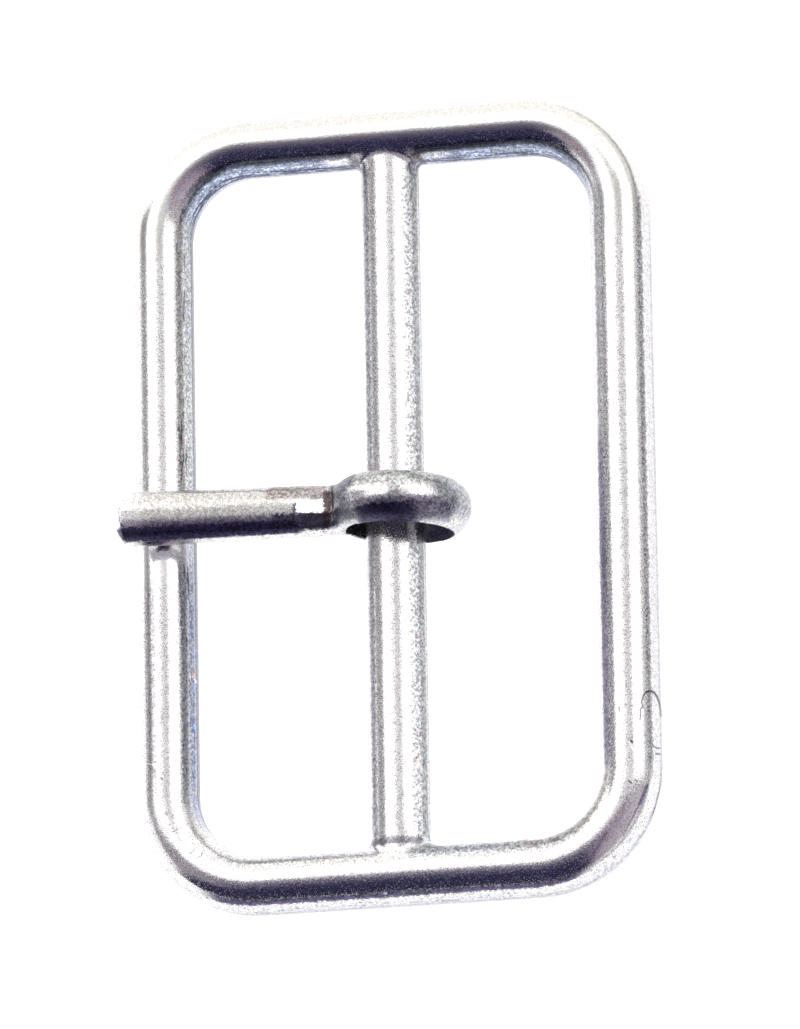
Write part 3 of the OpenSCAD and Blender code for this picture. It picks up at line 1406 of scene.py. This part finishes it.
@dataclass
class CastFrame:
    """The frame and the bar that is cast in it, as one piece."""

    strap: float = 25.0
    clear: float = 14.85
    rim_width: float = 2.2
    rim_height: float = 2.5
    crown: float = 0.99
    flank: float = 1.54
    back_edge: float = 0.4
    corner: float = 3.4
    bar_radius: float = 1.05
    bar_top_radius: float = 1.058
    bar_low_radius: float = 1.085
    bar_lift: float = 0.1
    bar_sides: int = 160
    fillet_reach: float = 0.5
    fillet_fade: float = 0.45
    joint_shift: float = 0.15
    joint_span: Span = (0.9, 0.35)
    edge_steps: int = 10
    flank_steps: int = 28
    crown_steps: int = 36
    back_steps: int = 12
    side_steps: int = 24
    corner_steps: int = 48
    cell: float = 0.105
    joint_rounds: int = 7
    rounds: int = 2

    @property
    def finish(self) -> NickelPlate:
        """The nickel plate with the frame's own wear and painted shade."""
        return NickelPlate(
            "frame_nickel",
            ring=(*self.middle, self.corner),
            stains_and_shade=FRAME_STAINS_AND_SHADE,
            hairlines=FRAME_SCRATCHES,
        )

    @property
    def back(self) -> float:
        """Height of the flat back."""
        return -self.bar_radius - self.bar_lift

    @property
    def crown_centre(self) -> float:
        """Height of the middle of the crown's arc."""
        return self.back + self.rim_height - self.crown

    @property
    def flank_shift(self) -> float:
        """How far the flank's arc has its middle past the section's middle."""
        return self.flank - self.rim_width / 2

    @property
    def flank_centre(self) -> float:
        """Height of the middle of the flank's arc."""
        reach = self.flank - self.crown
        return self.crown_centre - math.sqrt(reach**2 - self.flank_shift**2)

    @property
    def middle(self) -> tuple[float, float]:
        """Half the section's middle line, across and along the bar."""
        return self.clear / 2 + self.rim_width / 2, self.strap / 2 + self.rim_width / 2

    def section(self, name: str, across: float) -> bpy.types.Object:
        """Draws the section of the rim, as a loop of edges across X and Z.

        Args:
            name: the piece's name.
            across: where its middle lies in X.

        Returns:
            The piece, in edit mode with the whole loop selected.
        """
        edge_z = self.back + self.back_edge
        edge_x = (
            math.sqrt(
                (self.flank - self.back_edge) ** 2 - (self.flank_centre - edge_z) ** 2
            )
            - self.flank_shift
        )
        join_low = math.degrees(
            math.atan2(edge_z - self.flank_centre, edge_x + self.flank_shift)
        )
        join_high = math.degrees(
            math.atan2(self.crown_centre - self.flank_centre, self.flank_shift)
        )
        piece = Bench.point(name, (across + edge_x, 0.0, self.back))
        turns = (
            (edge_x, edge_z, join_low + 90.0, self.edge_steps),
            (-self.flank_shift, self.flank_centre, join_high - join_low, self.flank_steps),
            (0.0, self.crown_centre, 180.0 - 2 * join_high, self.crown_steps),
            (self.flank_shift, self.flank_centre, join_high - join_low, self.flank_steps),
            (-edge_x, edge_z, join_low + 90.0, self.edge_steps),
        )
        for centre_x, centre_z, degrees, steps in turns:
            Bench.spin((across + centre_x, 0.0, centre_z), (0, -1, 0), degrees, steps)
        Bench.pull((2 * edge_x, 0.0, 0.0), self.back_steps)
        Bench.weld()
        return piece

    def rim(self) -> bpy.types.Object:
        """Sweeps the section round the four sides and corners.

        Returns:
            The rim, as a closed ring.
        """
        half_x, half_y = self.middle
        run_x, run_y = half_x - self.corner, half_y - self.corner
        piece = self.section("rim", half_x)
        sides = (
            ((0.0, run_y, 0.0), (run_x, run_y), self.side_steps),
            ((-2 * run_x, 0.0, 0.0), (-run_x, run_y), self.side_steps),
            ((0.0, -2 * run_y, 0.0), (-run_x, -run_y), 2 * self.side_steps),
            ((2 * run_x, 0.0, 0.0), (run_x, -run_y), self.side_steps),
        )
        for move, (centre_x, centre_y), steps in sides:
            Bench.pull(move, steps)
            Bench.spin((centre_x, centre_y, 0.0), (0, 0, 1), 90.0, self.corner_steps)
        Bench.pull((0.0, run_y, 0.0), self.side_steps)
        Bench.weld()
        bpy.ops.mesh.normals_make_consistent(inside=False)
        bpy.ops.object.mode_set(mode="OBJECT")
        return piece

    def bar(self) -> bpy.types.Object:
        """Makes the bar, from the middle of one short side to the middle of the other.

        Returns:
            The bar.
        """
        Bench.clear()
        bpy.ops.mesh.primitive_cone_add(
            vertices=self.bar_sides,
            radius1=self.bar_top_radius,
            radius2=self.bar_low_radius,
            depth=2 * self.middle[1],
            rotation=(math.pi / 2, 0.0, 0.0),
        )
        Bench.settle()
        return Bench.named("bar")

    def near_joint(self, place: Vector) -> float:
        """How much a place belongs to one of the bar's two joints with the rim.

        Args:
            place: the place.

        Returns:
            1 at the joint, falling to 0 a little way off.
        """
        far, close = (self.bar_radius + past for past in self.joint_span)
        off = abs(abs(place.y) - self.strap / 2 - self.joint_shift)
        along = smooth_step(off, self.fillet_reach + self.fillet_fade, self.fillet_reach)
        return smooth_step(abs(place.x), far, close) * along

    def build(self) -> bpy.types.Object:
        """Models the frame.

        Returns:
            The finished piece, in metres.
        """
        rim, bar = self.rim(), self.bar()
        clean_rim, clean_bar = rim.copy(), bar.copy()
        for copy in (clean_rim, clean_bar):
            copy.data = copy.data.copy()
            bpy.context.scene.collection.objects.link(copy)
        shape = Bench.join(clean_rim, clean_bar)
        piece = Bench.join(rim, bar)
        Bench.remesh(piece, self.cell)
        away = Bench.group(piece, "away", lambda place: 1.0 - self.near_joint(place))
        joints = Bench.group(piece, "joints", self.near_joint)
        Bench.modify(
            piece,
            "SHRINKWRAP",
            target=shape,
            wrap_method="NEAREST_SURFACEPOINT",
            vertex_group=away,
        )
        Bench.smooth(piece, self.joint_rounds, joints)
        Bench.smooth(piece, self.rounds)
        bpy.data.objects.remove(shape, do_unlink=True)
        piece = Bench.to_size(piece)
        Bench.named("cast_frame")
        piece.vertex_groups.clear()
        piece.data.materials.clear()
        piece.data.materials.append(self.finish.build())
        return piece


@dataclass
class Prong:
    """The prong: a round shank with an eye that is bent round the bar.

    The wear and the painted shade are placed by worn_z, the height of the hole's middle, and
    by the shank's axis.
    """

    root_radius: float = 0.92
    tip_radius: float = 1.0
    overhang: float = 0.1
    skew: float = 1.2
    place: float = -0.27
    hole_radius: float = 1.92
    wall: float = 0.66
    eye_width: float = 1.92
    eye_turn: float = -3.0
    eye_x: float = 0.36
    back_wall: float = 0.38
    rest_gap: float = 0.06
    drop: float = 0.12
    front_radius: float = 1.7
    front_height: float = 0.84
    side_blend: float = 0.62
    rest_share: float = 0.8
    spare: float = 0.3
    dome_end: float = 0.05
    tip_dome: float = 1.3
    flat_from: float = 2.43
    flat_length: float = 1.28
    flat_lean: float = 8.0
    flat_size: float = 1.6
    flat_tilts: tuple[float, ...] = (3.0, -20.0)
    ridge_y: float = -0.20
    ridge_height: float = 0.80
    worn_z: float = 0.68
    axis_y: float = -0.26
    axis_z: float = 0.55
    axis_slope: float = 0.213
    axis_turn: float = 0.021
    neck_start: Span = (-2.9, -2.3)
    neck_end: Span = (-0.7, -1.3)
    neck_front: Span = (0.2, 0.6)
    round_steps: int = 192
    wall_steps: int = 96
    side_steps: int = 40
    blend_steps: int = 12
    front_steps: int = 24
    length_steps: int = 48
    cell: float = 0.045
    neck_rounds: int = 140
    rounds: int = 3

    @property
    def finish(self) -> NickelPlate:
        """The nickel plate with the prong's own wear and painted shade."""
        return NickelPlate(
            "prong_nickel",
            bore=(self.eye_x, self.worn_z),
            shank=((self.eye_x, self.axis_y, self.axis_z), self.axis_slope, self.axis_turn),
            stains_and_shade=PRONG_STAINS_AND_SHADE,
        )

    @property
    def eye_z(self) -> float:
        """Height of the hole's middle, where its wall just clears the bar."""
        play = (
            self.hole_radius
            - CastFrame.bar_radius
            - self.rest_gap
            - self.eye_width / 2 * math.sin(math.radians(abs(self.eye_turn)))
        )
        return math.sqrt(play**2 - self.eye_x**2)

    @property
    def dome(self) -> float:
        """Radius of the eye's domed section."""
        return ((self.eye_width / 2) ** 2 + self.wall**2) / (2 * self.wall)

    @property
    def outside(self) -> float:
        """Radius of the eye's outside."""
        return self.hole_radius + self.wall

    @property
    def rise(self) -> float:
        """How steeply the shank rises from the eye to clear the frame, in degrees."""
        frame = CastFrame()
        reach_x = frame.middle[0] + self.eye_x
        reach_z = frame.crown_centre - (self.eye_z - self.drop)
        radius = (1.0 - self.rest_share) * self.root_radius + self.rest_share * self.tip_radius
        clear = frame.crown + self.rest_gap + radius
        return math.degrees(
            math.atan2(reach_z, reach_x) + math.asin(clear / math.hypot(reach_x, reach_z))
        )

    @property
    def length(self) -> float:
        """Length of the shank from the hole's middle to the tip."""
        frame = CastFrame()
        reach = frame.middle[0] + frame.rim_width / 2 + self.overhang + self.eye_x
        return reach / math.cos(math.radians(self.rise))

    def eye(self) -> bpy.types.Object:
        """Makes the ring of the eye, still without its hole.

        Returns:
            The ring, in the prong's own frame.
        """
        Bench.clear()
        bpy.ops.mesh.primitive_torus_add(
            major_radius=self.outside - self.dome,
            minor_radius=self.dome,
            major_segments=self.round_steps,
            minor_segments=self.wall_steps,
            location=(self.eye_x, 0.0, self.eye_z),
            rotation=(math.pi / 2, 0.0, math.radians(self.eye_turn - self.skew)),
        )
        Bench.settle()
        return Bench.named("eye")

    @property
    def shank_start(self) -> Point:
        """Where the shank's axis starts, by the hole's middle."""
        return (self.eye_x, 0.0, self.eye_z - self.drop)

    def lay(self, piece: bpy.types.Object) -> bpy.types.Object:
        """Lays a piece that was made standing, with its front to +X, along the shank's line.

        Args:
            piece: the piece.

        Returns:
            The same piece.
        """
        Bench.take(piece)
        piece.rotation_euler = (0.0, math.radians(self.rise - 90.0), 0.0)
        piece.location = self.shank_start
        Bench.settle()
        return piece

    def shank_loop(self, name: str, radius: float, height: float) -> bpy.types.Object:
        """Draws one section of the standing shank, with its flatter front to +X.

        Args:
            name: the piece's name.
            radius: the radius of its sides and back.
            height: where the section lies.

        Returns:
            The section, as a closed loop of edges.
        """
        front = self.front_height - self.front_radius
        inner, outer = radius - self.side_blend, self.front_radius - self.side_blend
        blend_x = (front**2 - outer**2 + inner**2) / (2 * front)
        blend_y = math.sqrt(inner**2 - blend_x**2)
        side_turn = math.degrees(math.atan2(blend_y, blend_x))
        front_turn = math.degrees(math.atan2(blend_y, blend_x - front))
        piece = Bench.point(name, (-radius, 0.0, height))
        turns = (
            (0.0, 0.0, 180.0 - side_turn, self.side_steps),
            (blend_x, -blend_y, side_turn - front_turn, self.blend_steps),
            (front, 0.0, 2 * front_turn, self.front_steps),
            (blend_x, blend_y, side_turn - front_turn, self.blend_steps),
            (0.0, 0.0, 180.0 - side_turn, self.side_steps),
        )
        for centre_x, centre_y, degrees, steps in turns:
            Bench.spin((centre_x, centre_y, height), (0, 0, 1), degrees, steps)
        Bench.weld()
        bpy.ops.object.mode_set(mode="OBJECT")
        return piece

    def shank(self) -> bpy.types.Object:
        """Makes the shank, from the hole's middle to its rounded tip.

        Returns:
            The shank, in the prong's own frame.
        """
        top = self.length + self.spare
        root = self.shank_loop("shank", self.root_radius, 0.0)
        tip = self.shank_loop("tip", self.tip_radius, top)
        piece = Bench.join(root, tip)
        Bench.pick(piece, lambda place: True)
        bpy.ops.mesh.bridge_edge_loops(number_cuts=self.length_steps, interpolation="LINEAR")
        for height in (0.0, top):
            Bench.pick(piece, lambda place: abs(place.z - height) < WELD)
            bpy.ops.mesh.edge_face_add()
        bpy.ops.mesh.select_all(action="SELECT")
        bpy.ops.mesh.normals_make_consistent(inside=False)
        Bench.clear()
        end = self.length + self.dome_end
        bpy.ops.mesh.primitive_uv_sphere_add(
            segments=self.wall_steps, ring_count=self.round_steps, radius=end
        )
        dome = Bench.named("dome")
        wide = math.sqrt(self.tip_dome * end) / end
        dome.scale = (wide, wide, 1.0)
        Bench.settle()
        Bench.cut(piece, dome, "INTERSECT")
        return self.lay(piece)

    def near_neck(self, place: Vector) -> float:
        """How much a place belongs to the neck, where the shank runs into the eye.

        Args:
            place: the place, in the prong's own frame.

        Returns:
            1 in the neck, falling to 0 on the shank and on the eye.
        """
        return (
            smooth_step(place.x, *self.neck_start)
            * smooth_step(place.x, *self.neck_end)
            * smooth_step(place.z, *self.neck_front)
        )

    def flat(self, tilt: float) -> bpy.types.Object:
        """Makes the solid that one of the two pressed flats takes away.

        Args:
            tilt: how far the flat faces to +Y, in degrees.

        Returns:
            The solid, in the prong's own frame.
        """
        size = self.flat_size
        side = 1.0 if tilt > 0.0 else -1.0
        lean = self.flat_lean if tilt > 0.0 else 0.0
        turn = math.radians(tilt)
        rise = Vector((math.cos(turn), math.sin(turn), 0.0))
        across = Vector((-math.sin(turn), math.cos(turn), 0.0))
        middle = rise * (size / 2) + across * (side * size / 2)
        Bench.clear()
        bpy.ops.mesh.primitive_cube_add(
            size=1.0,
            location=(
                self.ridge_height + middle.x,
                self.ridge_y + middle.y,
                self.flat_from + self.flat_length / 2,
            ),
            rotation=(0.0, 0.0, turn),
            scale=(size, size, self.flat_length),
        )
        Bench.settle()
        flat = Bench.named("flat")
        flat.rotation_euler = (0.0, math.radians(lean), 0.0)
        far = Vector((self.ridge_height, 0.0, self.flat_from + self.flat_length))
        flat.location = far - Matrix.Rotation(math.radians(lean), 4, "Y") @ far
        Bench.settle()
        return self.lay(flat)

    def hole(self) -> bpy.types.Object:
        """Makes the solid that the eye's hole takes away.

        Returns:
            The solid, in the prong's own frame.
        """
        Bench.clear()
        bpy.ops.mesh.primitive_cylinder_add(
            vertices=self.round_steps,
            radius=self.hole_radius,
            depth=3 * self.eye_width,
            location=(self.eye_x, 0.0, self.eye_z),
            rotation=(math.pi / 2, 0.0, math.radians(self.eye_turn - self.skew)),
        )
        Bench.settle()
        return Bench.named("hole")

    def worn_back(self) -> bpy.types.Object:
        """Makes the solid that the wear takes off the eye's back.

        Returns:
            The solid, in the prong's own frame.
        """
        Bench.clear()
        size = 3 * self.outside
        face = self.eye_z - self.hole_radius - self.back_wall
        bpy.ops.mesh.primitive_cube_add(
            size=size, location=(self.eye_x, 0.0, face - size / 2)
        )
        return Bench.named("worn_back")

    def build(self) -> bpy.types.Object:
        """Models the prong.

        Returns:
            The finished piece, in metres.
        """
        piece = Bench.join(self.eye(), self.shank())
        Bench.remesh(piece, self.cell)
        neck = Bench.group(piece, "neck", self.near_neck)
        Bench.smooth(piece, self.neck_rounds, neck)
        Bench.cut(piece, self.hole())
        Bench.cut(piece, self.worn_back())
        for tilt in self.flat_tilts:
            Bench.cut(piece, self.flat(tilt))
        Bench.remesh(piece, self.cell)
        Bench.smooth(piece, self.rounds)
        piece.vertex_groups.clear()
        Bench.take(piece)
        piece.rotation_euler = (0.0, 0.0, math.radians(self.skew))
        piece.location = (0.0, self.place, 0.0)
        Bench.settle()
        Bench.to_size(piece)
        Bench.named("swing_prong")
        piece.data.materials.clear()
        piece.data.materials.append(self.finish.build())
        return piece


@dataclass
class Studio:
    """The pale floor, the soft light all round, and the camera."""

    floor_height: float = -1.632
    floor_size: float = 4.0
    tilt_right: float = 0.2456
    tilt_down: float = -0.2242
    roll: float = -0.0168
    distance: float = 414.8
    aim_right: float = 0.169
    aim_up: float = -0.363
    lens: float = 404.3
    sensor: float = 36.0
    clip: Span = (0.01, 20.0)
    panel: Colour = (2.40, 2.40, 2.38)
    ceiling: Colour = (1.62, 1.60, 1.57)
    beside: Colour = (1.15, 1.14, 1.12)
    mauve: Colour = (0.41, 0.33, 0.43)
    far_mauve: Colour = (0.61, 0.55, 0.62)
    left_grey: Colour = (0.44, 0.39, 0.44)
    low_white: Colour = (1.32, 1.32, 1.34)
    horizon: Colour = (1.34, 1.35, 1.38)
    panel_span: Span = (0.38, 0.48)
    ceiling_span: Span = (0.5, 0.75)
    beside_start: Span = (58.0, 72.0)
    beside_end: Span = (106.0, 94.0)
    mauve_span: Span = (0.3, 0.8)
    slant_height: float = 0.25
    slant_share: float = 0.4
    slant_span: Span = (0.03, 0.26)
    turned_span: Span = (4.0, -8.0)
    grey_across: Span = (-0.36, -0.54)
    grey_up: Span = (-0.54, -0.40)
    left_side: Span = (-63.0, -75.0)
    left_up: Span = (-0.5, -0.36)
    right_side: Span = (77.0, 89.0)
    right_up: Span = (-0.34, -0.48)
    lower_span: Span = (14.0, -2.0)
    horizon_span: Span = (0.035, 0.015)
    around_span: Span = (-90.0, 110.0)
    around: Stops = (
        (-90.0, (2.00, 2.00, 2.00)),
        (-84.0, (1.70, 1.70, 1.71)),
        (-79.0, (0.90, 0.89, 0.91)),
        (-75.0, (0.55, 0.54, 0.56)),
        (-66.0, (0.48, 0.47, 0.49)),
        (-56.0, (0.46, 0.45, 0.47)),
        (-50.0, (0.60, 0.59, 0.61)),
        (-46.0, (1.20, 1.20, 1.21)),
        (-42.0, (2.40, 2.40, 2.40)),
        (-14.0, (2.35, 2.35, 2.35)),
        (-9.0, (1.80, 1.80, 1.80)),
        (-2.0, (1.32, 1.32, 1.32)),
        (4.0, (1.02, 1.01, 1.02)),
        (10.0, (0.90, 0.89, 0.90)),
        (16.0, (0.82, 0.81, 0.83)),
        (22.0, (0.92, 0.91, 0.93)),
        (27.0, (1.30, 1.30, 1.30)),
        (33.0, (2.30, 2.30, 2.30)),
        (64.0, (2.35, 2.35, 2.35)),
        (70.0, (1.80, 1.80, 1.79)),
        (76.0, (1.20, 1.19, 1.19)),
        (82.0, (0.82, 0.81, 0.81)),
        (88.0, (0.58, 0.57, 0.58)),
        (109.0, (0.50, 0.49, 0.50)),
    )
    falling_span: Span = (-44.0, 12.0)
    falling: Stops = (
        (-42.0, (0.037, 0.034, 0.088)),
        (-32.0, (0.063, 0.058, 0.128)),
        (-26.0, (0.090, 0.082, 0.158)),
        (-20.0, (0.140, 0.124, 0.200)),
        (-14.0, (0.207, 0.185, 0.262)),
        (-8.0, (0.305, 0.278, 0.342)),
        (-2.0, (0.60, 0.58, 0.64)),
        (4.0, (1.05, 1.03, 1.09)),
        (10.0, (1.40, 1.39, 1.41)),
    )

    def floor(self) -> None:
        """Lays the floor."""
        Bench.clear()
        bpy.ops.mesh.primitive_plane_add(
            size=self.floor_size, location=(0.0, 0.0, self.floor_height * MM)
        )
        Bench.settle()
        floor = Bench.named("floor")
        floor.data.materials.append(PaleFloor().build())

    def light(self) -> None:
        """Writes the soft light: two tall white panels, a pale ceiling and a dark low side."""
        world = bpy.data.worlds.new("soft_studio")
        bpy.context.scene.world = world
        world.use_nodes = True
        graph = Graph(world.node_tree)
        way = graph.node("ShaderNodeTexCoord")
        parts = graph.node(
            "ShaderNodeSeparateXYZ", None, {0: way.outputs["Generated"]}
        )
        x, y, z = (Wire(graph, parts.outputs[name]) for name in "XYZ")
        side = x.math("ARCTAN2", z) * math.degrees(1.0)
        lift = y.math("ARCTAN2", z) * math.degrees(1.0)

        low = 1.0 - graph.step(y, *self.panel_span)
        upper = graph.blend(graph.step(y, *self.ceiling_span), self.panel, self.ceiling)
        beside = graph.step(side, *self.beside_start) * graph.step(side, *self.beside_end)
        upper = graph.blend(beside, upper, self.beside)
        upper = graph.blend(low, upper, graph.ramp(side, *self.around_span, self.around))

        mauve = graph.blend(graph.step(x, *self.mauve_span), self.mauve, self.far_mauve)
        lower = graph.ramp(lift, *self.falling_span, self.falling)
        slant = x + (y + self.slant_height) * self.slant_share
        turned = graph.step(lift, *self.turned_span)
        lower = graph.blend(graph.step(slant, *self.slant_span) * turned, lower, mauve)
        left = graph.step(x, *self.grey_across) * graph.step(y, *self.grey_up)
        lower = graph.blend(left * turned, lower, self.left_grey)
        for beyond, above in (
            (self.left_side, self.left_up),
            (self.right_side, self.right_up),
        ):
            white = graph.step(side, *beyond) * graph.step(y, *above)
            lower = graph.blend(white, lower, self.low_white)
        colour = graph.blend(graph.step(lift, *self.lower_span), upper, lower)
        colour = graph.blend(graph.step(z, *self.horizon_span), colour, self.horizon)
        back = graph.node(
            "ShaderNodeBackground", None, {"Color": colour, "Strength": 1.0}
        )
        graph.end(back.outputs[0], "ShaderNodeOutputWorld")

    def axes(self) -> tuple[Vector, Vector, Vector]:
        """The camera's directions.

        Returns:
            Its right, its up, and the way back from the buckle to it.
        """
        across = math.cos(self.tilt_down)
        back = Vector(
            (
                math.sin(self.tilt_right) * across,
                math.sin(self.tilt_down),
                math.cos(self.tilt_right) * across,
            )
        )
        level = Vector((0.0, 1.0, 0.0)).cross(back).normalized()
        upright = back.cross(level)
        right = math.cos(self.roll) * level + math.sin(self.roll) * upright
        return right, back.cross(right), back

    def camera(self) -> None:
        """Places the camera at the photograph's angle."""
        right, up, back = self.axes()
        aim = right * self.aim_right + up * self.aim_up
        place = (aim + back * self.distance) * MM
        turn = Matrix((right, up, back)).transposed().to_4x4()
        data = bpy.data.cameras.new("camera")
        data.lens = self.lens
        data.sensor_width = self.sensor
        data.clip_start, data.clip_end = self.clip
        camera = bpy.data.objects.new("camera", data)
        bpy.context.scene.collection.objects.link(camera)
        camera.matrix_world = Matrix.Translation(place) @ turn
        bpy.context.scene.camera = camera

    def build(self) -> None:
        """Sets up the whole studio."""
        self.floor()
        self.light()
        self.camera()
        bpy.context.scene.view_settings.view_transform = "Standard"


def log_piece(piece: bpy.types.Object) -> None:
    """Reports a piece's size.

    Args:
        piece: the finished piece.
    """
    corners = [piece.matrix_world @ Vector(corner) for corner in piece.bound_box]
    low = [min(corner[i] for corner in corners) / MM for i in range(3)]
    high = [max(corner[i] for corner in corners) / MM for i in range(3)]
    LOG.info(
        "%s: %d faces, from %s to %s mm",
        piece.name,
        len(piece.data.polygons),
        [round(value, 3) for value in low],
        [round(value, 3) for value in high],
    )


def main() -> None:
    """Builds the buckle and its studio."""
    logging.basicConfig(level=logging.INFO, format="%(message)s")
    frame_piece = CastFrame().build()
    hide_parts("frame")
    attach(frame_piece, "frame")
    log_piece(frame_piece)
    prong_piece = Prong().build()
    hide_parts("prong")
    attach(prong_piece, "prong")
    log_piece(prong_piece)
    Studio().build()


if __name__ == "__main__":
    main()
